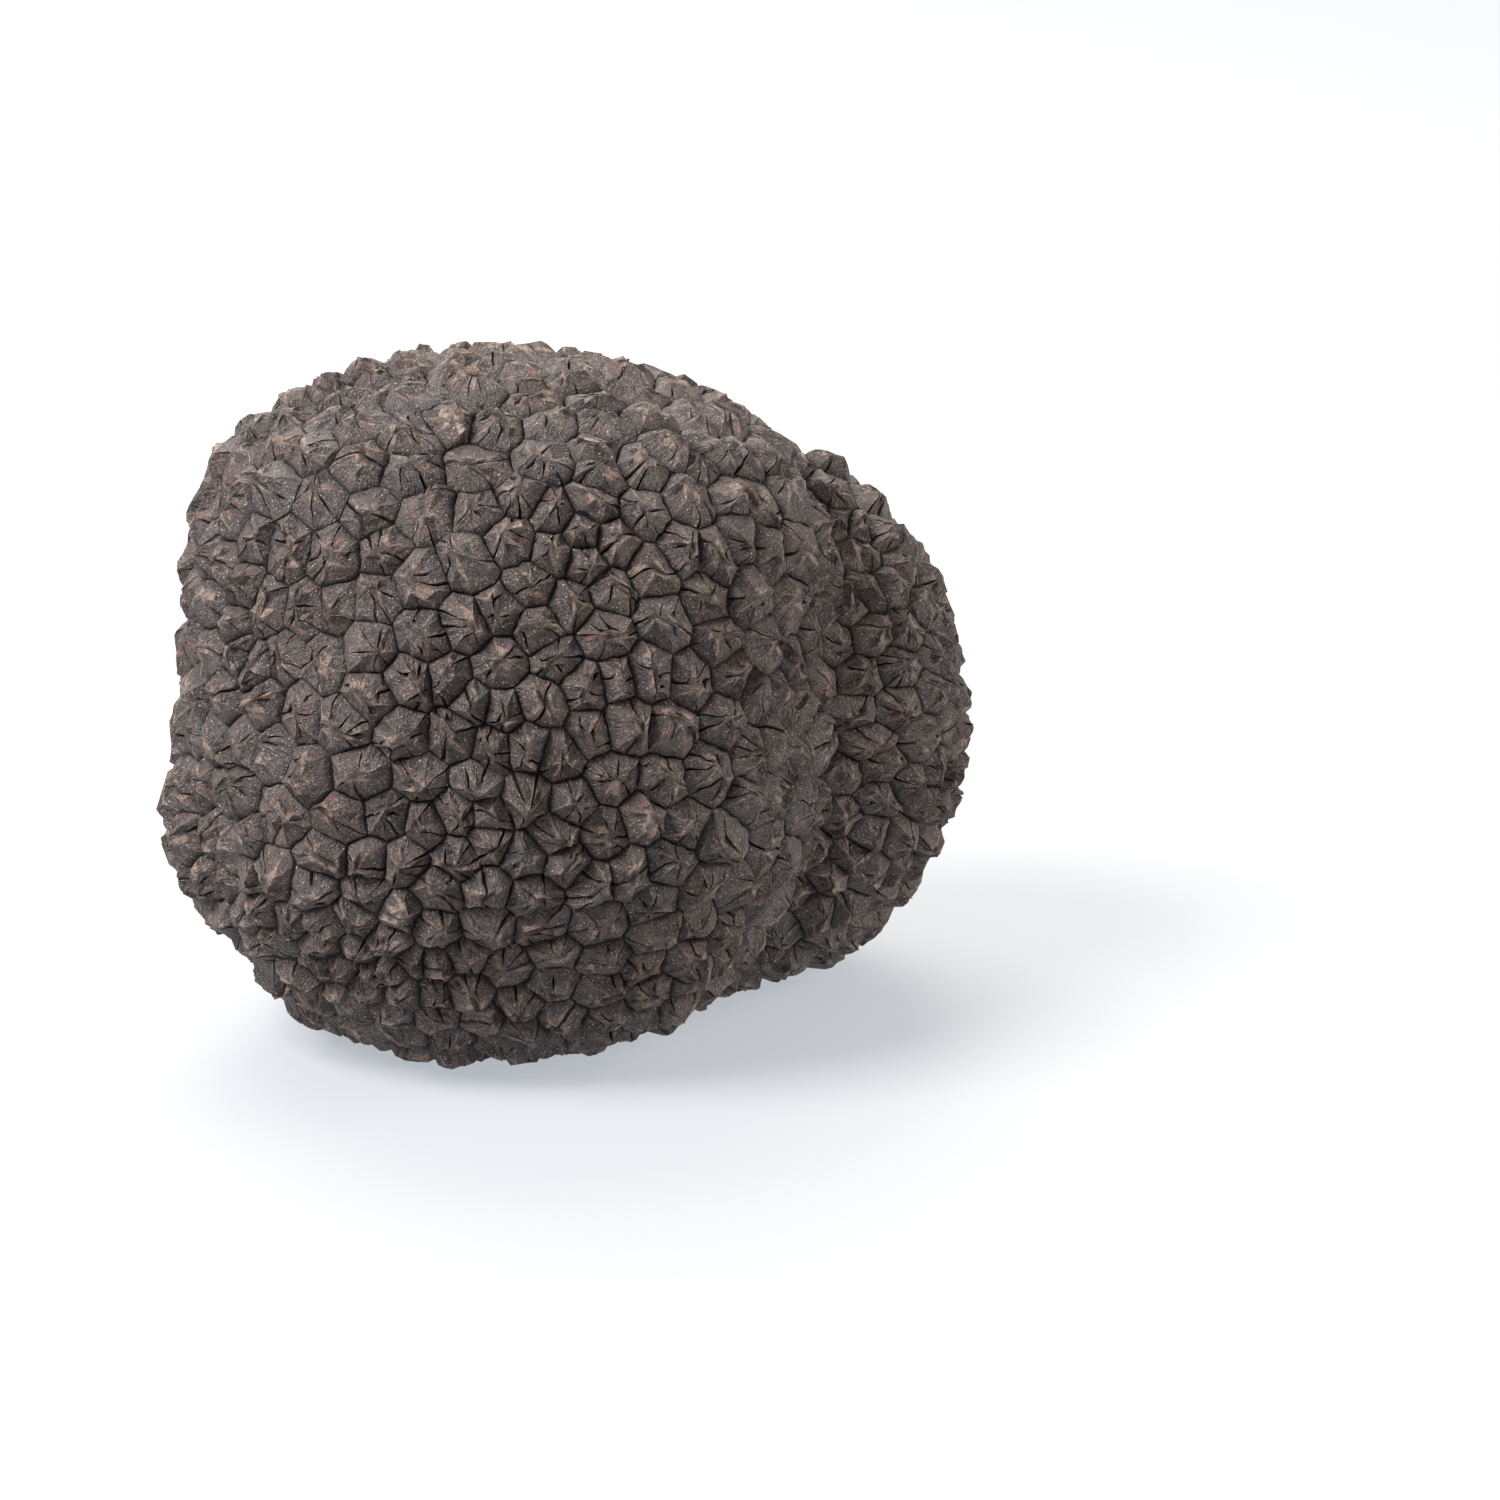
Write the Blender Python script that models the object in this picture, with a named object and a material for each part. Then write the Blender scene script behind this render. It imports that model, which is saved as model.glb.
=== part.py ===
"""A whole summer truffle: a two-lobed tuber covered in pyramid warts with narrow grooves between them.

The body is a smooth union of a few lobes, cut flat where it rested. Wart centres are spread over it by a
seeded relaxed scatter, their cells are the Voronoi cells of that scatter, and each cell is raised into a
pyramid with steep sides. Everything is one closed skin. Lengths are in millimetres until the mesh is made,
which is in metres.
"""

import bmesh
import bpy
import numpy as np

MM = 0.001

# The tuber under the warts is two halves, each a smooth union of lobes, that meet in a valley. A lobe is
# its centre (x, y, z) and its half-widths (x, y, z). The front is -Y and the floor is z = 0.
LEFT_HALF = {
    "main": ((-5.1, -1.0, 28.5), (23.4, 22.5, 18.6)),
    "crown": ((-3.8, 1.5, 42.1), (22.0, 17.0, 10.5)),
    "belly": ((-16.0, -2.0, 17.5), (10.5, 13.5, 6.0)),
    "foot": ((-4.9, -4.0, 10.4), (18.5, 15.5, 11.2)),
    "flank": ((1.7, -2.5, 20.8), (15.8, 17.0, 12.2)),
    "heel": ((-8.0, 12.0, 18.0), (13.0, 11.0, 12.0)),
}
RIGHT_HALF = {
    "shoulder": ((13.2, 11.3, 22.5), (18.8, 15.8, 20.7)),
    "right_foot": ((9.5, 10.0, 11.1), (12.0, 11.5, 10.6)),
}
CORE = (0.0, 1.0, 25.0)  # the point that every ray to the surface starts from
LOBE_BLEND = 3.0
VALLEY_BLEND = 1.2

# Gentle unevenness of the body: that many waves of these lengths.
SWELL_COUNT = 7
SWELL_SEED = 7
SWELL_HEIGHT = 0.12
SWELL_LENGTHS = (11.0, 20.0)

# Where it rested, the groove floor lies this high over the surface, and the wart tops are worn flat on it.
REST_GROOVE_HEIGHT = 0.6
REST_BLEND = 0.9

WART_COUNT = 668
WART_SEED = 41
RELAX_ROUNDS = 11
RELAX_SAMPLES = 16000
SHORTEST_SIDE = 0.55
CORNER_TO_CENTROID = 0.35  # how far a corner moves from the point that is equally far from its three warts

# A wart over its groove: its top, and the shoulder between its steep side and its sloping top.
APEX_HEIGHT = 1.45
APEX_HEIGHT_SPREAD = 0.22
APEX_WANDER = 0.16
SHOULDER_HEIGHT = 0.88
SHOULDER_SHARE = 0.91

FARTHEST = 60.0
BISECTIONS = 28
NORMAL_STEP = 0.01

SKIN_COLOUR = (0.045, 0.036, 0.031, 1.0)
SKIN_ROUGHNESS = 0.62


def clear_scene():
    for obj in list(bpy.data.objects):
        bpy.data.objects.remove(obj)


def swell_waves():
    """Wave vectors and phases of the unevenness."""
    rng = np.random.default_rng(SWELL_SEED)
    axes = rng.normal(size=(SWELL_COUNT, 3))
    axes /= np.linalg.norm(axes, axis=1)[:, None]
    lengths = rng.uniform(*SWELL_LENGTHS, SWELL_COUNT)
    return axes * (2 * np.pi / lengths)[:, None], rng.uniform(0, 2 * np.pi, SWELL_COUNT)


SWELLS = swell_waves()


def joined(lobes, points):
    """Below zero inside the smooth union of these lobes."""
    inside = 0.0
    for centre, radii in lobes.values():
        reach = np.linalg.norm((points - centre) / radii, axis=1)
        inside = inside + np.exp((1.0 - reach) * min(radii) / LOBE_BLEND)
    return -LOBE_BLEND * np.log(inside)


def field(points):
    """Below zero inside the body, and about the distance to its surface nearby."""
    left, right = joined(LEFT_HALF, points), joined(RIGHT_HALF, points)
    body = -VALLEY_BLEND * np.logaddexp(-left / VALLEY_BLEND, -right / VALLEY_BLEND)
    vectors, phases = SWELLS
    body = body - SWELL_HEIGHT * np.sin(points @ vectors.T + phases).sum(axis=1)
    floor = REST_GROOVE_HEIGHT - points[:, 2]
    return REST_BLEND * np.logaddexp(body / REST_BLEND, floor / REST_BLEND)


def on_body(directions):
    """Where rays from the core leave the body, and the outward normals there."""
    near = np.zeros(len(directions))
    far = np.full(len(directions), FARTHEST)
    for _ in range(BISECTIONS):
        middle = (near + far) / 2
        inside = field(CORE + directions * middle[:, None]) < 0
        near = np.where(inside, middle, near)
        far = np.where(inside, far, middle)
    points = CORE + directions * near[:, None]
    steps = NORMAL_STEP * np.eye(3)
    normals = np.stack([field(points + s) - field(points - s) for s in steps], axis=1)
    return points, unit(normals)


def unit(vectors):
    return vectors / np.linalg.norm(vectors, axis=1)[:, None]


def even_directions(count):
    """Directions spread evenly over the sphere, on a Fibonacci spiral."""
    step = np.arange(count) + 0.5
    height = 1 - 2 * step / count
    turn = np.pi * (1 + np.sqrt(5)) * step
    ring = np.sqrt(1 - height**2)
    return np.stack([ring * np.cos(turn), ring * np.sin(turn), height], axis=1)


def wart_centres():
    """Directions of the warts: a random scatter, relaxed until it is even but not regular."""
    rng = np.random.default_rng(WART_SEED)
    samples = even_directions(RELAX_SAMPLES)
    points, normals = on_body(samples)
    reach = np.linalg.norm(points - CORE, axis=1)
    area = reach**2 / (samples * normals).sum(axis=1)
    chosen = rng.choice(len(samples), WART_COUNT, replace=False, p=area / area.sum())
    centres = points[chosen]
    for _ in range(RELAX_ROUNDS):
        gap = (centres**2).sum(axis=1) - 2 * points @ centres.T
        owner = gap.argmin(axis=1)
        weight = np.bincount(owner, area, WART_COUNT)
        sums = [np.bincount(owner, area * points[:, axis], WART_COUNT) for axis in range(3)]
        means = np.stack(sums, axis=1) / weight[:, None]
        centres = on_body(unit(means - CORE))[0]
    return unit(centres - CORE)


def neighbour_triangles(directions):
    """Triangles between neighbouring warts: the convex hull of their directions, seen from outside."""
    mesh = bmesh.new()
    for index, direction in enumerate(directions):
        mesh.verts.new(direction).index = index
    mesh.verts.index_update()
    bmesh.ops.convex_hull(mesh, input=mesh.verts)
    bmesh.ops.triangulate(mesh, faces=mesh.faces)
    triangles = np.array([[v.index for v in face.verts] for face in mesh.faces])
    mesh.free()
    a, b, c = (directions[triangles[:, k]] for k in range(3))
    outward = (np.cross(b - a, c - a) * (a + b + c)).sum(axis=1) > 0
    triangles[~outward] = triangles[~outward][:, ::-1]
    return triangles


def cell_corners(directions, triangles):
    """One corner for each triangle of neighbours, and each wart's corners, counter-clockwise from outside."""
    a, b, c = (directions[triangles[:, k]] for k in range(3))
    around = unit(np.cross(b - a, c - a))
    middle = unit(a + b + c)
    corners = unit(around * (1 - CORNER_TO_CENTROID) + middle * CORNER_TO_CENTROID)
    following = [{} for _ in directions]
    for index, triangle in enumerate(triangles):
        for k in range(3):
            following[triangle[k]][triangle[(k + 1) % 3]] = (triangle[(k + 2) % 3], index)
    rings = []
    for steps in following:
        start = next(iter(steps))
        ring, neighbour = [], start
        while True:
            neighbour, index = steps[neighbour]
            ring.append(index)
            if neighbour == start:
                break
        rings.append(ring)
    return corners, rings


def join_close_corners(corners, rings):
    """Corners closer than the shortest side become one, so that no side is a sliver."""
    points, _ = on_body(corners)
    group = list(range(len(corners)))

    def root(index):
        while group[index] != index:
            index = group[index]
        return index

    for ring in rings:
        for one, other in zip(ring, ring[1:] + ring[:1]):
            if np.linalg.norm(points[one] - points[other]) < SHORTEST_SIDE:
                group[root(one)] = root(other)
    roots = np.array([root(index) for index in range(len(corners))])
    _, index_of = np.unique(roots, return_inverse=True)
    sums = np.stack([np.bincount(index_of, corners[:, axis]) for axis in range(3)], axis=1)
    shortened = []
    for ring in rings:
        ids = [int(index_of[index]) for index in ring]
        shortened.append([one for one, before in zip(ids, ids[-1:] + ids[:-1]) if one != before])
    return unit(sums), shortened


def wart_skin():
    """Points in millimetres and triangles of the whole skin."""
    rng = np.random.default_rng(WART_SEED + 1)
    directions = wart_centres()
    corners, rings = cell_corners(directions, neighbour_triangles(directions))
    corners, rings = join_close_corners(corners, rings)
    along, height, triangles = list(corners), [0.0] * len(corners), []
    for ring in rings:
        around = corners[ring]
        middle = around.mean(axis=0)
        radius = np.linalg.norm(around - middle, axis=1).mean()
        apex = middle + rng.normal(size=3) * APEX_WANDER * radius
        tall = 1 + APEX_HEIGHT_SPREAD * rng.uniform(-1, 1)
        first = len(along)
        along.extend(apex + (around - apex) * SHOULDER_SHARE)
        height.extend([SHOULDER_HEIGHT * (tall + 1) / 2] * len(ring))
        along.append(apex)
        height.append(APEX_HEIGHT * tall)
        top = len(along) - 1
        for k, corner in enumerate(ring):
            after = (k + 1) % len(ring)
            triangles.append((corner, ring[after], first + after))
            triangles.append((corner, first + after, first + k))
            triangles.append((first + k, first + after, top))
    points, normals = on_body(unit(np.array(along)))
    points = points + normals * np.array(height)[:, None]
    points[:, 2] = np.maximum(points[:, 2], 0.0)
    return points, triangles


def centred(points):
    """The same points with the origin under the middle of the box, on the surface the truffle rests on."""
    middle = (points.min(axis=0) + points.max(axis=0)) / 2
    return points - (middle[0], middle[1], 0.0)


def skin_material():
    material = bpy.data.materials.new("truffle_skin")
    material.use_nodes = True
    shader = material.node_tree.nodes["Principled BSDF"]
    shader.inputs["Base Color"].default_value = SKIN_COLOUR
    shader.inputs["Roughness"].default_value = SKIN_ROUGHNESS
    shader.inputs["Metallic"].default_value = 0.0
    return material


def main():
    clear_scene()
    points, triangles = wart_skin()
    mesh = bpy.data.meshes.new("truffle")
    mesh.from_pydata((centred(points) * MM).tolist(), [], triangles)
    mesh.materials.append(skin_material())
    truffle = bpy.data.objects.new("truffle", mesh)
    bpy.context.scene.collection.objects.link(truffle)


main()
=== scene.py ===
"""Looks of a whole summer truffle: cracked pyramid warts, their dry peel, a pale floor and soft light.

The body is that of the solid, worked out again from the same values. Its warts are a scatter of their own,
a little smaller than the solid's. Each is built finely, as spokes from its top to its groove, with flutes,
ridges and V-shaped cracks along them. Lengths are in millimetres until the mesh is made. The mesh, the
finish, the camera and the lights are in metres.
"""

import math

import bmesh
import bpy
import numpy as np
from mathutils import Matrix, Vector, noise


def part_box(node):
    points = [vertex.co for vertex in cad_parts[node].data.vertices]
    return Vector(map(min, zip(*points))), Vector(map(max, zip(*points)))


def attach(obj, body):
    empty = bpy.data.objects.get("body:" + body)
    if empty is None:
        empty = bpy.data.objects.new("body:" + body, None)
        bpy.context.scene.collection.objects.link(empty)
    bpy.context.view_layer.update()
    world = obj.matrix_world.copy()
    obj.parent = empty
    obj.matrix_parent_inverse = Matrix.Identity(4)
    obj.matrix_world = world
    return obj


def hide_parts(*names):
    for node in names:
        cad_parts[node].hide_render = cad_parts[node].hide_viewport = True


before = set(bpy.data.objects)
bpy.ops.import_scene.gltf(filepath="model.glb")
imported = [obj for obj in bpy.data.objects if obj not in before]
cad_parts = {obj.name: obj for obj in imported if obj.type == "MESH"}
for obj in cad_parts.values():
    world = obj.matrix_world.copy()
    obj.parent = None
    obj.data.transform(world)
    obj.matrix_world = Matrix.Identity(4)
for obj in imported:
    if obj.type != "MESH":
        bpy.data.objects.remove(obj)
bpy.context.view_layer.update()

MM = 0.001

# The tuber under the warts is two halves, each a smooth union of lobes, that meet in a valley. A lobe is
# its centre (x, y, z) and its half-widths (x, y, z). The front is -Y and the floor is z = 0.
LEFT_HALF = {
    "main": ((-5.1, -1.0, 28.5), (23.4, 22.5, 18.6)),
    "crown": ((-3.8, 1.5, 42.1), (22.0, 17.0, 10.5)),
    "belly": ((-16.0, -2.0, 17.5), (10.5, 13.5, 6.0)),
    "foot": ((-4.9, -4.0, 10.4), (18.5, 15.5, 11.2)),
    "flank": ((1.7, -2.5, 20.8), (15.8, 17.0, 12.2)),
    "heel": ((-8.0, 12.0, 18.0), (13.0, 11.0, 12.0)),
}
RIGHT_HALF = {
    "shoulder": ((13.2, 11.3, 22.5), (18.8, 15.8, 20.7)),
    "right_foot": ((9.5, 10.0, 11.1), (12.0, 11.5, 10.6)),
}
CORE = (0.0, 1.0, 25.0)  # the point that every ray to the surface starts from
LOBE_BLEND = 3.0
VALLEY_BLEND = 1.2

# Gentle unevenness of the body: that many waves of these lengths.
SWELL_COUNT = 7
SWELL_SEED = 7
SWELL_HEIGHT = 0.12
SWELL_LENGTHS = (11.0, 20.0)

# Where it rested, the groove floor lies this high over the surface.
REST_GROOVE_HEIGHT = 0.6
REST_BLEND = 0.9

FARTHEST = 60.0
BISECTIONS = 28
NORMAL_STEP = 0.01

# The wart cells: how many, and how even.
WART_COUNT = 810
WART_SEED = 23
RELAX_ROUNDS = 3
RELAX_SAMPLES = 20000
SHORTEST_SIDE = 0.5
CORNER_TO_CENTROID = 0.3  # how far a corner moves from the point that is equally far from its three warts

# Form of a wart. A ring is its share of the way from the top to the shoulder, and which spokes reach it:
# every spoke, every second one, or corners only (0). Cracked spokes reach every ring.
DETAIL_SEED = 5
SPOKE_GAP = 0.68
SIDE_WOBBLE = 0.07
RINGS = ((1.0, 1), (0.88, 1), (0.67, 1), (0.42, 2), (0.17, 0))
GROOVE_HALF_WIDTH = (0.05, 0.15)
APEX_HEIGHT = 1.52
APEX_HEIGHT_SPREAD = 0.22
APEX_WANDER = 0.24
SPINE = (0.05, 0.45)  # length of the crest on top, as a share of the wart's own length
SHOULDER_HEIGHT = 0.55
SHOULDER_JITTER = 0.09
SHOULDER_ROLL = 0.77
DOME = (0.95, 1.5)  # power of the slope: a cone at 1, rounder above
PLACE_JITTER = 0.045
RIDGE_LIFT = (0.02, 0.2)
FACET_SINK = (-0.04, 0.26)
FLUTE = 0.09
TOP_ROUGHNESS = 0.2
ROUGH_TOP_REACH = 0.5
PIT_CHANCE = 0.3
PIT_DEPTH = (0.12, 0.35)

# Cracks, each along a spoke. Starts and ends are shares of the way from the top to the shoulder.
THROUGH_CRACK_CHANCE = 0.12
CRACKS = (4, 7)
CRACK_KINDS = ("rim", "rim", "top", "slit")
CRACK_START = (0.1, 0.5)
CRACK_END = (0.6, 0.95)
CRACK_DEPTH = (0.5, 1.1)
CRACK_HALF_WIDTH = (0.08, 0.22)
CRACK_WIDTH_SPREAD = (0.7, 1.3)
WIDEST_CRACK_SHARE = 0.42  # of the way to the next spoke
CRACK_TAPER = 0.5
CRACK_LIP = 0.06
LEAST_CRACK_FLOOR = 0.05  # over the groove
LEAST_OPENING = 0.15
LIP_TURN = 0.3  # where a lip stands between two spokes, for stitching

# Unevenness of the whole peel: noise of that size, and how far it moves a point.
WARP_SEED = 3
WARP = ((3.0, 0.16), (1.1, 0.06))
GRAIN = ((0.75, 0.05), (0.38, 0.04))
SHARP_ANGLE = math.radians(31)

# What the finish reads at each point: how open it is (0 in a crack, 1 on the peel), whether it is on a
# ridge, the way round on its wart, how far out it is (over 1 in a groove), and the wart's tone and warmth.
MARKS = ("open", "ridge", "east", "north", "reach", "tone", "warmth")
GROOVE_MARKS = (1.0, 0.0, 0.0, 0.0, 1.2, 0.5, 0.5)
PIT_MARK = 0.4
TOP_RIDGE_MARK = 0.5
PALE_LIP_CHANCE = 0.3
PALE_LIP_MARK = 0.9
LIP_MARK = 0.3

# Colours of the peel, as light reflected.
CHARCOAL = (0.026, 0.0200, 0.0203, 1)
BROWN_GREY = (0.090, 0.068, 0.063, 1)
RUST_BROWN = (0.078, 0.046, 0.037, 1)
# Blue-grey: partly a tone of some warts, partly a painted sheen of the sky on them.
BLUE_GREY_TONE_AND_SHEEN = (0.056, 0.050, 0.056, 1)
# Tan: the peel's colour on the tops, and along ridges and crests partly a painted highlight.
TAN_AND_HIGHLIGHT = (0.34, 0.24, 0.185, 1)
RUST = (0.27, 0.100, 0.065, 1)
DUST = (0.45, 0.41, 0.37, 1)
CRACK_WALL = (0.046, 0.020, 0.013, 1)
# Painted shade: the grooves between warts are coloured darker, as where shade falls.
GROOVE_SHADE = (0.014, 0.0105, 0.0105, 1)
# Painted shade at the bottoms of cracks and pits. The same black also draws the fine fissure lines.
CRACK_SHADE_AND_FISSURE_BLACK = (0.007, 0.0055, 0.0055, 1)

# Noises of the finish: scale, detail and roughness. The streaks run in the wart's own coordinates.
MOTTLE = (1300.0, 3.0, 0.65)
FINE_GRAIN = (4200.0, 2.0, 0.75)
STREAK = (1.0, 3.0, 0.7)
DUST_SPECKS = (6500.0, 1.0, 0.55)
FISSURE_PATCHES = (500.0, 1.0, 0.55)
STREAKS = 3.6  # noise periods round a wart, as the radius of a circle in noise space
WART_APART = 40.0  # keeps the streaks of one wart unlike those of the next
STREAK_MIDDLE = 0.5

# Masks of the finish. Each band is where a mask starts and where it is full, and an amount is how much of
# the colour it lays on. WARTS bands read a wart's warmth, PATCHES bands the mottle, and REACH bands how far
# out the point is. A weight says how much one noise counts among those that are added up.
BASE_WEIGHTS = {"mottle": 0.4, "grain": 1.5, "streaks": 0.6, "tone": 0.15}
BASE_BAND = (0.97, 1.65)
# Cool warts and patches take the blue-grey, partly tone and partly painted sheen.
COOL_WARTS = (0.4, 0.1)
COOL_PATCHES = (0.58, 0.42)
WARM_WARTS = (0.3, 1.0)
WARM_PATCHES = (0.42, 0.62)
TINT_AMOUNT = 0.5
# Lines on the ridges and crests: pale tan, partly the peel's colour and partly a painted highlight.
LINE_GRAIN = 0.22
LINE_BAND = (0.215, 0.12)
LINE_PATCHES = (0.38, 0.6)
LINE_REACH = (1.15, 0.4)
LINE_AMOUNT = 0.65
CREST_BAND = (0.028, 0.004)
CREST_PATCHES = (0.42, 0.6)
CREST_REACH = (1.0, 0.2)
CREST_AMOUNT = 0.75
CROWN_WEIGHTS = {"streaks": 0.9, "grain": 0.9, "reach": -0.4}
CROWN_BAND = (0.88, 0.97)
CROWN_AMOUNT = 0.16
FLECK_BAND = (0.56, 0.64)
FLECK_PATCHES = (0.5, 0.58)
FLECK_REACH = (0.95, 0.6)
FLECK_AMOUNT = 0.6
DUST_BAND = (0.66, 0.71)
DUST_AMOUNT = 0.8
# Where the painted groove shade starts and is full, and the least of it.
GROOVE_SHADE_REACH = (1.0, 1.15)
LEAST_GROOVE_SHADE = 0.2
CRACK_WALL_BAND = (0.85, 0.4)
# The floor band is where shade is painted at the bottom of a crack or pit.
CRACK_FLOOR_BAND = (0.5, 0.05)
FISSURE_SCALE = 620.0  # cells a metre
FISSURE_WANDER = 0.0012
FISSURE_GRAIN = 0.12
FISSURE_BAND = (0.105, 0.07)
FISSURE_PATCH_BAND = (0.52, 0.62)
FISSURE_AMOUNT = 0.85
ROUGHNESS_WEIGHTS = {"grain": 0.5, "streaks": 0.4}
LEAST_ROUGHNESS = 0.12
CREASE_DEPTH = 2.2  # times the grain's height
RELIEF_HEIGHT = 0.0003
RELIEF_STRENGTH = 0.85

# The photograph's camera: a long lens a little above the truffle.
LENS = 150.0
SENSOR = 36.0
CAMERA_DISTANCE = 0.503
CAMERA_ELEVATION = math.radians(17)
CAMERA_AIM = (0.0144, -0.0015, 0.0222)

# A floor that glows a little, as a light table does, under soft light from all round.
FLOOR_SIZE = 6.0
FLOOR_COLOUR = (0.22, 0.22, 0.22, 1)
FLOOR_ROUGHNESS = 0.7
FLOOR_GLOW_COLOUR = (0.86, 0.92, 1.0, 1)
FLOOR_GLOW = 0.505
STUDIO_COLOUR = (1.0, 0.965, 0.93, 1)
STUDIO_STRENGTH = 0.51

# Softboxes: place, edge length, power and colour. The key shows the relief, the back one makes the soft
# shadow in front, and the side one catches the right flanks of the warts.
LIGHT_AIM = (0, 0, 0.03)
SOFTBOXES = {
    "key": ((-0.41, -0.22, 0.52), 0.32, 8.3, (1.0, 1.0, 1.0)),
    "back": ((-0.12, 0.5, 0.6), 0.6, 6.9, (1.0, 0.95, 0.88)),
    "side": ((0.5, 0.06, 0.2), 0.24, 1.8, (1.0, 0.9, 0.8)),
}


def swell_waves():
    """Wave vectors and phases of the body's gentle unevenness."""
    rng = np.random.default_rng(SWELL_SEED)
    axes = rng.normal(size=(SWELL_COUNT, 3))
    axes /= np.linalg.norm(axes, axis=1)[:, None]
    lengths = rng.uniform(*SWELL_LENGTHS, SWELL_COUNT)
    return axes * (2 * np.pi / lengths)[:, None], rng.uniform(0, 2 * np.pi, SWELL_COUNT)


SWELLS = swell_waves()


def unit(vectors):
    return vectors / np.linalg.norm(vectors, axis=1)[:, None]


def joined(lobes, points):
    """Below zero inside the smooth union of these lobes."""
    inside = 0.0
    for centre, radii in lobes.values():
        reach = np.linalg.norm((points - centre) / radii, axis=1)
        inside = inside + np.exp((1.0 - reach) * min(radii) / LOBE_BLEND)
    return -LOBE_BLEND * np.log(inside)


def field(points):
    """Below zero inside the body, and about the distance to its surface nearby."""
    left, right = joined(LEFT_HALF, points), joined(RIGHT_HALF, points)
    body = -VALLEY_BLEND * np.logaddexp(-left / VALLEY_BLEND, -right / VALLEY_BLEND)
    vectors, phases = SWELLS
    body = body - SWELL_HEIGHT * np.sin(points @ vectors.T + phases).sum(axis=1)
    floor = REST_GROOVE_HEIGHT - points[:, 2]
    return REST_BLEND * np.logaddexp(body / REST_BLEND, floor / REST_BLEND)


def on_body(directions):
    """Where rays from the core leave the body, and the outward normals there."""
    near = np.zeros(len(directions))
    far = np.full(len(directions), FARTHEST)
    for _ in range(BISECTIONS):
        middle = (near + far) / 2
        inside = field(CORE + directions * middle[:, None]) < 0
        near = np.where(inside, middle, near)
        far = np.where(inside, far, middle)
    points = CORE + directions * near[:, None]
    steps = NORMAL_STEP * np.eye(3)
    normals = np.stack([field(points + s) - field(points - s) for s in steps], axis=1)
    return points, unit(normals)


def even_directions(count):
    """Directions spread evenly over the sphere, on a Fibonacci spiral."""
    step = np.arange(count) + 0.5
    height = 1 - 2 * step / count
    turn = np.pi * (1 + np.sqrt(5)) * step
    ring = np.sqrt(1 - height**2)
    return np.stack([ring * np.cos(turn), ring * np.sin(turn), height], axis=1)


def wart_centres():
    """Directions of the warts: a random scatter, relaxed until it is even but not regular."""
    rng = np.random.default_rng(WART_SEED)
    samples = even_directions(RELAX_SAMPLES)
    points, normals = on_body(samples)
    reach = np.linalg.norm(points - CORE, axis=1)
    area = reach**2 / (samples * normals).sum(axis=1)
    chosen = rng.choice(len(samples), WART_COUNT, replace=False, p=area / area.sum())
    centres = points[chosen]
    for _ in range(RELAX_ROUNDS):
        gap = (centres**2).sum(axis=1) - 2 * points @ centres.T
        owner = gap.argmin(axis=1)
        weight = np.bincount(owner, area, WART_COUNT)
        sums = [np.bincount(owner, area * points[:, axis], WART_COUNT) for axis in range(3)]
        means = np.stack(sums, axis=1) / weight[:, None]
        centres = on_body(unit(means - CORE))[0]
    return unit(centres - CORE)


def neighbour_triangles(directions):
    """Triangles between neighbouring warts: the convex hull of their directions, seen from outside."""
    mesh = bmesh.new()
    for index, direction in enumerate(directions):
        mesh.verts.new(direction).index = index
    mesh.verts.index_update()
    bmesh.ops.convex_hull(mesh, input=mesh.verts)
    bmesh.ops.triangulate(mesh, faces=mesh.faces)
    triangles = np.array([[v.index for v in face.verts] for face in mesh.faces])
    mesh.free()
    a, b, c = (directions[triangles[:, k]] for k in range(3))
    outward = (np.cross(b - a, c - a) * (a + b + c)).sum(axis=1) > 0
    triangles[~outward] = triangles[~outward][:, ::-1]
    return in_order(triangles)


def in_order(triangles):
    """The same triangles in a fixed order, because the hull gives them in another one on each run."""
    start, rows = triangles.argmin(axis=1), np.arange(len(triangles))
    turned = np.stack([triangles[rows, (start + k) % 3] for k in range(3)], axis=1)
    return turned[np.lexsort(turned.T[::-1])]


def cell_corners(directions, triangles):
    """One corner for each triangle of neighbours, and the ring of corners of each wart."""
    a, b, c = (directions[triangles[:, k]] for k in range(3))
    around = unit(np.cross(b - a, c - a))
    middle = unit(a + b + c)
    corners = unit(around * (1 - CORNER_TO_CENTROID) + middle * CORNER_TO_CENTROID)
    following = [{} for _ in directions]
    for index, triangle in enumerate(triangles):
        for k in range(3):
            following[triangle[k]][triangle[(k + 1) % 3]] = (triangle[(k + 2) % 3], index)
    rings = []
    for steps in following:
        start = next(iter(steps))
        ring, neighbour = [], start
        while True:
            neighbour, index = steps[neighbour]
            ring.append(index)
            if neighbour == start:
                break
        rings.append(ring)
    return corners, rings


def join_close_corners(corners, rings):
    """Corners closer than the shortest side become one, so that no side is a sliver."""
    points, _ = on_body(corners)
    group = list(range(len(corners)))

    def root(index):
        while group[index] != index:
            index = group[index]
        return index

    for ring in rings:
        for one, other in zip(ring, ring[1:] + ring[:1]):
            if np.linalg.norm(points[one] - points[other]) < SHORTEST_SIDE:
                group[root(one)] = root(other)
    roots = np.array([root(index) for index in range(len(corners))])
    _, index_of = np.unique(roots, return_inverse=True)
    sums = np.stack([np.bincount(index_of, corners[:, axis]) for axis in range(3)], axis=1)
    shortened = []
    for ring in rings:
        ids = [int(index_of[index]) for index in ring]
        shortened.append([one for one, before in zip(ids, ids[-1:] + ids[:-1]) if one != before])
    return unit(sums), shortened


class Skin:
    """The growing peel: for each point its direction, height over the groove and what the finish reads."""

    def __init__(self):
        self.along = []
        self.height = []
        self.marks = []
        self.triangles = []

    def add(self, along, height, marks):
        self.along.append(along)
        self.height.append(height)
        self.marks.append(marks)
        return len(self.along) - 1


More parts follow.
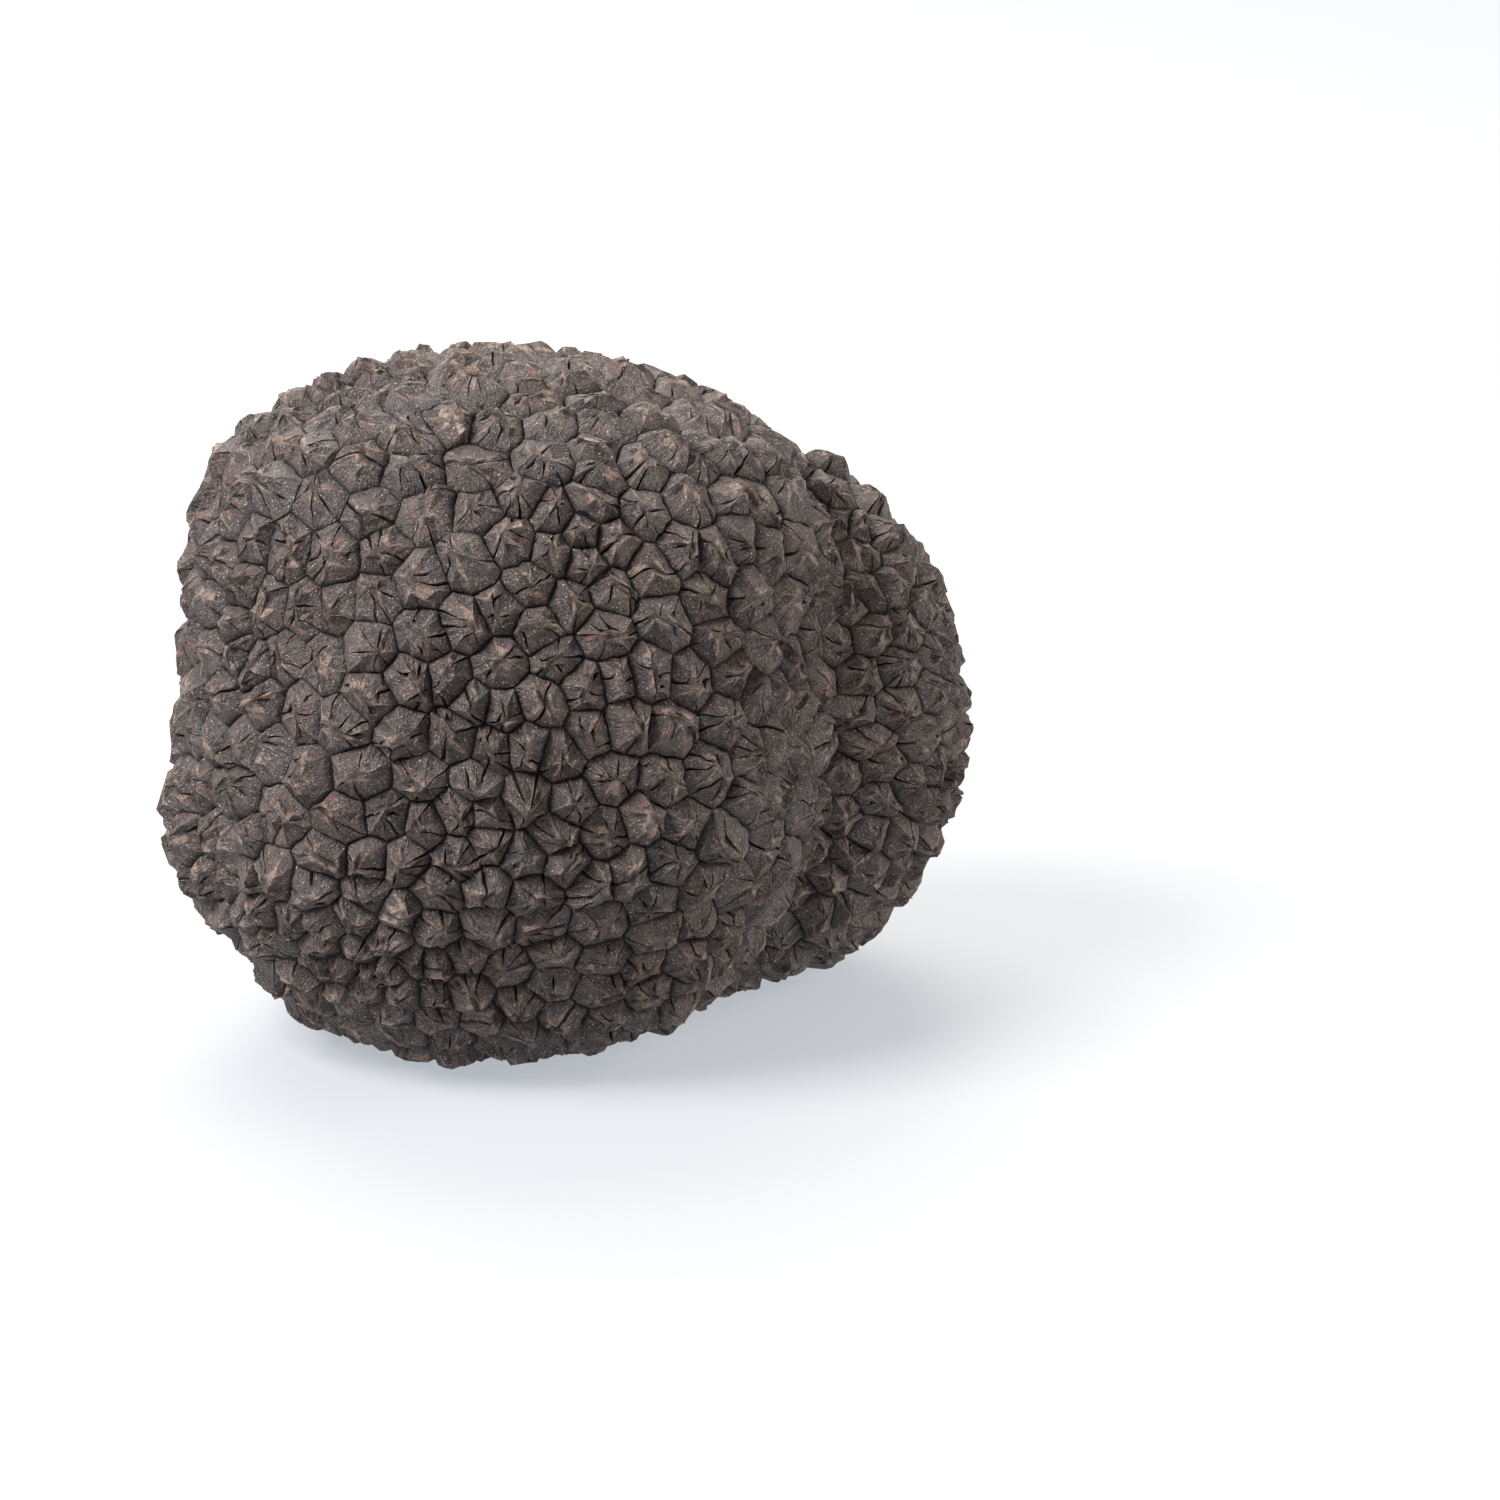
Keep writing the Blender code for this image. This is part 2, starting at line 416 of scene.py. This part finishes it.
def side_points(skin, corners, points, rings, rng):
    """Points along each side between two corners, shared by the two warts that meet there."""
    between = {}
    for ring in rings:
        for one, other in zip(ring, ring[1:] + ring[:1]):
            if (other, one) in between:
                between[one, other] = between[other, one][::-1]
                continue
            count = max(0, round(np.linalg.norm(points[one] - points[other]) / SPOKE_GAP) - 1)
            across = np.cross(corners[one], corners[other] - corners[one])
            across *= SIDE_WOBBLE / np.linalg.norm(points[one] - CORE) / np.linalg.norm(across)
            ids = []
            for k in range(count):
                share = (k + 1) / (count + 1)
                along = corners[one] * (1 - share) + corners[other] * share
                ids.append(skin.add(along + across * rng.uniform(-1, 1), 0.0, GROOVE_MARKS))
            between[one, other] = ids
    return between


def stitch(outer, inner, turn):
    """Triangles between two closed rings of (place on the turn, point), both counter-clockwise from 0."""
    outer = outer + [(turn, outer[0][1])]
    inner = inner + [(turn, inner[0][1])]
    triangles = []
    i = j = 0
    while i + 1 < len(outer) or j + 1 < len(inner):
        inner_done = j + 1 == len(inner)
        if inner_done or (i + 1 < len(outer) and outer[i + 1][0] <= inner[j + 1][0]):
            triangles.append((outer[i][1], outer[i + 1][1], inner[j][1]))
            i += 1
        else:
            triangles.append((outer[i][1], inner[j + 1][1], inner[j][1]))
            j += 1
    return triangles


class Crack:
    """A V-shaped crack along a spoke, between two shares of the way out."""

    def __init__(self, kind, rng):
        self.kind = kind
        self.start = rng.uniform(*CRACK_START)
        self.end = rng.uniform(*CRACK_END)
        self.depth = rng.uniform(*CRACK_DEPTH)
        self.half_width = rng.uniform(*CRACK_HALF_WIDTH)
        self.lip_mark = PALE_LIP_MARK if rng.random() < PALE_LIP_CHANCE else LIP_MARK

    def opening(self, out):
        """0 where it is closed and 1 where it is widest: at the rim, at the top, midway, or all along."""
        if self.kind == "rim":
            return max(0.0, (out - self.start) / (1.0 - self.start)) ** CRACK_TAPER
        if self.kind == "top":
            return max(0.0, 1.0 - out / self.end) ** CRACK_TAPER
        if self.kind == "slit":
            return max(0.0, math.sin(math.pi * (out - self.start) / (self.end - self.start)))
        return 1.0


class Wart:
    """One wart: spokes from a short spine at its top out to the groove points around it."""

    def __init__(self, skin, sides, size, rng):
        self.skin, self.rng = skin, rng
        self.rim, bow, side = [], [], []
        for number, (corner, between) in enumerate(sides):
            steps = len(between) + 1
            self.rim += [corner] + between
            bow += [math.sin(math.pi * k / steps) for k in range(steps)]
            side += [number] * steps
        self.count = len(self.rim)
        self.is_corner = np.array(bow) == 0.0
        self.draw_plan(size)
        self.draw_form(np.array(bow), rng.uniform(*FACET_SINK, len(sides))[side])
        self.draw_cracks()

    def draw_plan(self, size):
        """Where the spokes run, seen from above."""
        rng = self.rng
        rim_along = np.array([self.skin.along[index] for index in self.rim])
        middle = rim_along.mean(axis=0)
        spread = np.linalg.norm(rim_along - middle, axis=1).mean()
        self.to_mm = size / spread
        self.apex = middle + rng.normal(size=3) * APEX_WANDER * spread
        out = rim_along - self.apex
        long_way = np.linalg.svd(rim_along - middle, full_matrices=False)[2][0]
        self.inner = self.apex + long_way * (out @ long_way)[:, None] * rng.uniform(*SPINE)
        self.reach = rim_along - self.inner
        groove = rng.uniform(*GROOVE_HALF_WIDTH, self.count) / self.to_mm
        self.outer = 1 - groove / np.linalg.norm(self.reach, axis=1)
        east = unit(out[:1])[0]
        north = np.cross(unit(self.apex[None])[0], east)
        self.east, self.north = unit(np.stack([out @ east, out @ north], axis=1)).T

    def draw_form(self, bow, sink):
        """Heights of the spokes, and the wart's own finish."""
        rng = self.rng
        tall = 1 + APEX_HEIGHT_SPREAD * rng.uniform(-1, 1)
        self.top = APEX_HEIGHT * tall
        self.shoulder = SHOULDER_HEIGHT * tall + SHOULDER_JITTER * rng.uniform(-1, 1, self.count)
        self.dome = rng.uniform(*DOME)
        flute = FLUTE * rng.uniform(-1, 1, self.count)
        ridge = rng.uniform(*RIDGE_LIFT, self.count)
        self.lift = np.where(self.is_corner, ridge, flute - sink * bow)
        self.ridge = 1.0 * (self.lift > np.maximum(np.roll(self.lift, 1), np.roll(self.lift, -1)))
        self.tone, self.warmth = rng.random(), rng.random()

    def draw_cracks(self):
        """A few short cracks, or one right across."""
        rng = self.rng
        self.cracks = {}
        first = int(rng.integers(self.count))
        self.split = rng.random() < THROUGH_CRACK_CHANCE
        if self.split:
            self.cracks[first] = self.cracks[(first + self.count // 2) % self.count] = Crack("through", rng)
            return
        for spoke in rng.permutation(self.count)[: rng.integers(CRACKS[0], CRACKS[1] + 1)].tolist():
            if not any((spoke + step) % self.count in self.cracks for step in (-1, 1)):
                self.cracks[spoke] = Crack(rng.choice(CRACK_KINDS), rng)

    def place(self, spoke, out):
        spoke %= self.count
        return self.inner[spoke] + self.reach[spoke] * (out * self.outer[spoke])

    def height(self, spoke, out):
        shoulder = self.shoulder[spoke]
        height = shoulder + (self.top - shoulder) * (1 - out**self.dome)
        height += self.lift[spoke] * math.sin(math.pi * out)
        if out == 1.0:
            return height * SHOULDER_ROLL
        return height + (TOP_ROUGHNESS * self.rng.uniform(-1, 1) if out < ROUGH_TOP_REACH else 0.0)

    def add_ring_points(self, spoke, out):
        """The point or, where it is cracked, the three points where a ring meets a spoke."""
        rng = self.rng
        jitter = rng.normal(size=3) * PLACE_JITTER / self.to_mm
        here, height = self.place(spoke, out), self.height(spoke, out)
        way = (self.east[spoke], self.north[spoke], out, self.tone, self.warmth)
        opening = self.cracks[spoke].opening(out) if spoke in self.cracks else 0.0
        if opening < LEAST_OPENING:
            return [(float(spoke), self.skin.add(here + jitter, height, (1.0, self.ridge[spoke]) + way))]
        crack, lips = self.cracks[spoke], []
        for step in (-1, 1):
            beside = self.place(spoke + step, out) - here
            share = crack.half_width * opening / (np.linalg.norm(beside) * self.to_mm)
            lip = here + jitter + beside * min(WIDEST_CRACK_SHARE, share * rng.uniform(*CRACK_WIDTH_SPREAD))
            marks = (1.0, crack.lip_mark) + way
            lips.append((spoke + LIP_TURN * step, self.skin.add(lip, height + CRACK_LIP, marks)))
        bottom = max(height - crack.depth * opening, LEAST_CRACK_FLOOR)
        floor = self.skin.add(here + jitter, bottom, (0.0, 0.0) + way)
        return [lips[0], (float(spoke), floor), lips[1]]

    def add_top(self):
        """The point in the middle of the top, which is pitted on some warts."""
        pitted = self.split or self.rng.random() < PIT_CHANCE
        pit = self.rng.uniform(*PIT_DEPTH) if pitted else 0.0
        opened = 0.0 if self.split else (PIT_MARK if pitted else 1.0)
        marks = (opened, TOP_RIDGE_MARK, 0.0, 0.0, 0.0, self.tone, self.warmth)
        return self.skin.add(self.apex, self.top - pit, marks)

    def build(self):
        outer = [(float(spoke), index) for spoke, index in enumerate(self.rim)]
        for out, every in RINGS:
            ring = []
            for spoke in range(self.count):
                if self.is_corner[spoke] or spoke in self.cracks or (every and spoke % every == 0):
                    ring += self.add_ring_points(spoke, out)
            if ring[0][0] < 0.0:
                ring.append((ring[0][0] + self.count, ring[0][1]))
                ring.pop(0)
            self.skin.triangles += stitch(outer, ring, float(self.count))
            outer = ring
        top = self.add_top()
        for (_, one), (_, other) in zip(outer, outer[1:] + outer[:1]):
            self.skin.triangles.append((one, other, top))


def build_skin():
    """The whole peel, wart by wart."""
    directions = wart_centres()
    corners, rings = cell_corners(directions, neighbour_triangles(directions))
    corners, rings = join_close_corners(corners, rings)
    points, _ = on_body(corners)
    rng = np.random.default_rng(DETAIL_SEED)
    skin = Skin()
    for corner in corners:
        skin.add(corner, 0.0, GROOVE_MARKS)
    between = side_points(skin, corners, points, rings, rng)
    for ring in rings:
        sides = [(one, between[one, other]) for one, other in zip(ring, ring[1:] + ring[:1])]
        size = np.linalg.norm(points[ring] - points[ring].mean(axis=0), axis=1).mean()
        Wart(skin, sides, size, rng).build()
    return skin


def roughened(points, normals):
    """The points pushed about by smooth noise: sideways a little, and in and out finely."""
    noise.seed_set(WARP_SEED)
    moved = points.copy()
    for index, point in enumerate(points):
        at = Vector(point)
        for size, reach in WARP:
            moved[index] += np.array(noise.noise_vector(at / size)) * reach
        for size, reach in GRAIN:
            moved[index] += normals[index] * (noise.noise(at / size) * reach)
    return moved


def skin_mesh(skin):
    points, normals = on_body(unit(np.array(skin.along)))
    points = points + normals * np.array(skin.height)[:, None]
    points = roughened(points, normals)
    points[:, 2] = np.maximum(points[:, 2], 0.0)
    lo, hi = (np.array(corner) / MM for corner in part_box("truffle"))
    shift = (lo + hi) / 2 - (points.min(axis=0) + points.max(axis=0)) / 2
    points[:, :2] += shift[:2]
    mesh = bpy.data.meshes.new("truffle_peel")
    mesh.from_pydata((points * MM).tolist(), [], skin.triangles)
    for number, name in enumerate(MARKS):
        values = np.array([marks[number] for marks in skin.marks], np.float32)
        mesh.attributes.new(name, "FLOAT", "POINT").data.foreach_set("value", values)
    mesh.shade_smooth()
    mesh.set_sharp_from_angle(angle=SHARP_ANGLE)
    return mesh


class Nodes:
    """Short ways to add shader nodes to a material and join them."""

    def __init__(self, material):
        material.use_nodes = True
        self.tree = material.node_tree
        self.shader = self.tree.nodes["Principled BSDF"]

    def set(self, socket, value):
        if isinstance(value, bpy.types.NodeSocket):
            self.tree.links.new(value, socket)
        else:
            socket.default_value = value

    def attribute(self, name):
        node = self.tree.nodes.new("ShaderNodeAttribute")
        node.attribute_name = name
        return node.outputs["Fac"]

    def place(self):
        return self.tree.nodes.new("ShaderNodeTexCoord").outputs["Object"]

    def math(self, operation, *values):
        node = self.tree.nodes.new("ShaderNodeMath")
        node.operation = operation
        for socket, value in zip(node.inputs, values):
            self.set(socket, value)
        return node.outputs[0]

    def sum(self, *parts):
        """Values added up, each times its weight."""
        total = None
        for value, weight in parts:
            part = self.math("MULTIPLY", value, weight)
            total = part if total is None else self.math("ADD", total, part)
        return total

    def product(self, first, *others):
        for other in others:
            first = self.math("MULTIPLY", first, other)
        return first

    def vector(self, x, y, z):
        node = self.tree.nodes.new("ShaderNodeCombineXYZ")
        for socket, value in zip(node.inputs, (x, y, z)):
            self.set(socket, value)
        return node.outputs[0]

    def step(self, value, low, high):
        """0 below low and 1 above high, smooth between; the other way round if low is above high."""
        node = self.tree.nodes.new("ShaderNodeMapRange")
        node.interpolation_type = "SMOOTHSTEP"
        self.set(node.inputs["Value"], value)
        node.inputs["From Min"].default_value = min(low, high)
        node.inputs["From Max"].default_value = max(low, high)
        node.inputs["To Min"].default_value = float(low > high)
        node.inputs["To Max"].default_value = float(low < high)
        return node.outputs["Result"]

    def noise(self, where, scale, detail, roughness):
        node = self.tree.nodes.new("ShaderNodeTexNoise")
        self.set(node.inputs["Vector"], where)
        node.inputs["Scale"].default_value = scale
        node.inputs["Detail"].default_value = detail
        node.inputs["Roughness"].default_value = roughness
        return node.outputs["Fac"]

    def cell_edges(self, where, scale):
        """Distance from the sides of irregular cells."""
        node = self.tree.nodes.new("ShaderNodeTexVoronoi")
        node.feature = "DISTANCE_TO_EDGE"
        self.set(node.inputs["Vector"], where)
        node.inputs["Scale"].default_value = scale
        return node.outputs["Distance"]

    def shifted(self, where, x, y, z, reach):
        """Coordinates moved by these values, times the reach."""
        push = self.tree.nodes.new("ShaderNodeVectorMath")
        push.operation = "MULTIPLY_ADD"
        self.set(push.inputs[0], self.vector(x, y, z))
        push.inputs[1].default_value = (reach, reach, reach)
        self.set(push.inputs[2], where)
        return push.outputs[0]

    def mix(self, share, one, other):
        node = self.tree.nodes.new("ShaderNodeMix")
        node.data_type = "RGBA"
        self.set(node.inputs["Factor"], share)
        self.set(node.inputs["A"], one)
        self.set(node.inputs["B"], other)
        return node.outputs["Result"]

    def bump(self, height, distance, strength):
        node = self.tree.nodes.new("ShaderNodeBump")
        node.inputs["Distance"].default_value = distance
        node.inputs["Strength"].default_value = strength
        self.set(node.inputs["Height"], height)
        return node.outputs["Normal"]


def streak_noise(nodes, marks):
    """Noise drawn out along the way from a wart's top to its rim, new on each wart."""
    around = nodes.vector(
        nodes.math("MULTIPLY", marks["east"], STREAKS),
        nodes.math("MULTIPLY", marks["north"], STREAKS),
        nodes.math("ADD", marks["reach"], nodes.math("MULTIPLY", marks["tone"], WART_APART)),
    )
    return nodes.noise(around, *STREAK)


def fissure_lines(nodes, place, noises):
    """Patches of fine, crooked, dark lines."""
    mottle = noises["mottle"]
    crooked = nodes.shifted(place, mottle, noises["streaks"], mottle, FISSURE_WANDER)
    edges = nodes.cell_edges(crooked, FISSURE_SCALE)
    away = nodes.sum((edges, 1.0), (noises["grain"], FISSURE_GRAIN))
    patches = nodes.step(nodes.noise(place, *FISSURE_PATCHES), *FISSURE_PATCH_BAND)
    return nodes.product(nodes.step(away, *FISSURE_BAND), patches)


def finish_noises(nodes):
    """Everything that the colours are mixed by: the points' marks and the noises."""
    noises = {name: nodes.attribute(name) for name in MARKS}
    place = nodes.place()
    noises["streaks"] = streak_noise(nodes, noises)
    noises["creases"] = nodes.math("ABSOLUTE", nodes.math("SUBTRACT", noises["streaks"], STREAK_MIDDLE))
    noises["mottle"] = nodes.noise(place, *MOTTLE)
    noises["grain"] = nodes.noise(place, *FINE_GRAIN)
    noises["dust"] = nodes.noise(place, *DUST_SPECKS)
    noises["fissures"] = fissure_lines(nodes, place, noises)
    return noises


def weighted(nodes, noises, weights):
    """The named noises added up, each times its weight."""
    return nodes.sum(*((noises[name], weight) for name, weight in weights.items()))


def base_colour(nodes, noises):
    """Mottled charcoal and brown-grey, warmer on some warts and blue-grey on others, that blue-grey partly
    their tone and partly a painted sheen.
    """
    mottle, warmth = noises["mottle"], noises["warmth"]
    shade = weighted(nodes, noises, BASE_WEIGHTS)
    colour = nodes.mix(nodes.step(shade, *BASE_BAND), CHARCOAL, BROWN_GREY)
    cool = nodes.product(nodes.step(warmth, *COOL_WARTS), nodes.step(mottle, *COOL_PATCHES), TINT_AMOUNT)
    colour = nodes.mix(cool, colour, BLUE_GREY_TONE_AND_SHEEN)
    warm = nodes.product(nodes.step(warmth, *WARM_WARTS), nodes.step(mottle, *WARM_PATCHES), TINT_AMOUNT)
    return nodes.mix(warm, colour, RUST_BROWN)


def ridge_lines(nodes, noises):
    """Thin pale lines along the ridges, strongest towards the top: partly tan peel and partly a painted
    highlight.
    """
    away = nodes.product(nodes.math("SUBTRACT", 1.0, noises["ridge"]), SPOKE_GAP)
    line = nodes.step(nodes.sum((away, 1.0), (noises["grain"], LINE_GRAIN)), *LINE_BAND)
    patches = nodes.step(noises["mottle"], *LINE_PATCHES)
    return nodes.product(line, patches, nodes.step(noises["reach"], *LINE_REACH), LINE_AMOUNT)


def crest_lines(nodes, noises):
    """Fine pale lines between the streaks, which run out from the top: partly tan peel and partly a painted
    highlight.
    """
    crest = nodes.step(noises["creases"], *CREST_BAND)
    patches = nodes.step(noises["mottle"], *CREST_PATCHES)
    return nodes.product(crest, patches, nodes.step(noises["reach"], *CREST_REACH), CREST_AMOUNT)


def tan_and_highlight_colour(nodes, noises, colour):
    """Tan lines on the ridges and crests, partly a painted highlight, and a breath of tan on the top."""
    colour = nodes.mix(ridge_lines(nodes, noises), colour, TAN_AND_HIGHLIGHT)
    colour = nodes.mix(crest_lines(nodes, noises), colour, TAN_AND_HIGHLIGHT)
    crown = nodes.step(weighted(nodes, noises, CROWN_WEIGHTS), *CROWN_BAND)
    return nodes.mix(nodes.product(crown, CROWN_AMOUNT), colour, TAN_AND_HIGHLIGHT)


def fleck_colour(nodes, noises, colour):
    """Rusty flecks and pale specks of dust."""
    flecks = nodes.step(noises["streaks"], *FLECK_BAND)
    patches = nodes.step(noises["mottle"], *FLECK_PATCHES)
    flecks = nodes.product(flecks, patches, nodes.step(noises["reach"], *FLECK_REACH), FLECK_AMOUNT)
    dust = nodes.product(nodes.step(noises["dust"], *DUST_BAND), DUST_AMOUNT)
    return nodes.mix(dust, nodes.mix(flecks, colour, RUST), DUST)


def dark_colour(nodes, noises, colour):
    """Painted shade in the grooves and at the bottoms of cracks and pits, reddish crack walls, and dark
    fissure lines.
    """
    # Painted shade in the grooves between warts, patchy with the grain.
    groove = nodes.math("ADD", noises["grain"], LEAST_GROOVE_SHADE)
    groove = nodes.product(nodes.step(noises["reach"], *GROOVE_SHADE_REACH), groove)
    colour = nodes.mix(groove, colour, GROOVE_SHADE)
    colour = nodes.mix(nodes.step(noises["open"], *CRACK_WALL_BAND), colour, CRACK_WALL)
    # Painted shade at the bottoms of cracks and pits.
    colour = nodes.mix(nodes.step(noises["open"], *CRACK_FLOOR_BAND), colour, CRACK_SHADE_AND_FISSURE_BLACK)
    return nodes.mix(nodes.product(noises["fissures"], FISSURE_AMOUNT), colour, CRACK_SHADE_AND_FISSURE_BLACK)


def peel_material():
    """Dry charcoal-brown peel, with painted shade in its grooves and cracks."""
    material = bpy.data.materials.new("truffle_peel")
    nodes = Nodes(material)
    noises = finish_noises(nodes)
    colour = base_colour(nodes, noises)
    for add_layer in (tan_and_highlight_colour, fleck_colour, dark_colour):
        colour = add_layer(nodes, noises, colour)
    roughness = nodes.math("ADD", weighted(nodes, noises, ROUGHNESS_WEIGHTS), LEAST_ROUGHNESS)
    relief = nodes.sum((noises["grain"], 1.0), (noises["creases"], -CREASE_DEPTH))
    nodes.set(nodes.shader.inputs["Base Color"], colour)
    nodes.set(nodes.shader.inputs["Roughness"], roughness)
    nodes.set(nodes.shader.inputs["Normal"], nodes.bump(relief, RELIEF_HEIGHT, RELIEF_STRENGTH))
    return material


def floor_material():
    material = bpy.data.materials.new("floor")
    material.use_nodes = True
    shader = material.node_tree.nodes["Principled BSDF"]
    shader.inputs["Base Color"].default_value = FLOOR_COLOUR
    shader.inputs["Roughness"].default_value = FLOOR_ROUGHNESS
    shader.inputs["Emission Color"].default_value = FLOOR_GLOW_COLOUR
    shader.inputs["Emission Strength"].default_value = FLOOR_GLOW
    return material


def add_floor():
    bpy.ops.mesh.primitive_plane_add(size=FLOOR_SIZE)
    floor = bpy.context.object
    floor.name = "floor"
    floor.data.materials.append(floor_material())


def look_at(thing, place, target):
    thing.location = place
    thing.rotation_mode = "QUATERNION"
    thing.rotation_quaternion = (Vector(target) - Vector(place)).to_track_quat("-Z", "Y")


def add_light(name, place, size, power, colour):
    light = bpy.data.lights.new(name, "AREA")
    light.size = size
    light.energy = power
    light.color = colour
    lamp = bpy.data.objects.new(name, light)
    bpy.context.scene.collection.objects.link(lamp)
    look_at(lamp, place, LIGHT_AIM)


def add_world():
    world = bpy.data.worlds.new("studio")
    world.use_nodes = True
    background = world.node_tree.nodes["Background"]
    background.inputs["Color"].default_value = STUDIO_COLOUR
    background.inputs["Strength"].default_value = STUDIO_STRENGTH
    bpy.context.scene.world = world


def add_camera():
    camera = bpy.data.objects.new("camera", bpy.data.cameras.new("camera"))
    camera.data.lens = LENS
    camera.data.sensor_width = SENSOR
    bpy.context.scene.collection.objects.link(camera)
    aim = Vector(CAMERA_AIM)
    back = Vector((0.0, -math.cos(CAMERA_ELEVATION), math.sin(CAMERA_ELEVATION)))
    look_at(camera, aim + back * CAMERA_DISTANCE, aim)
    bpy.context.scene.camera = camera


def add_truffle():
    peel = bpy.data.objects.new("truffle_peel", skin_mesh(build_skin()))
    bpy.context.scene.collection.objects.link(peel)
    peel.data.materials.append(peel_material())
    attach(peel, "root")
    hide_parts("truffle")


add_camera()
add_truffle()
add_floor()
add_world()
for name, softbox in SOFTBOXES.items():
    add_light(name, *softbox)
bpy.context.scene.view_settings.view_transform = "Standard"
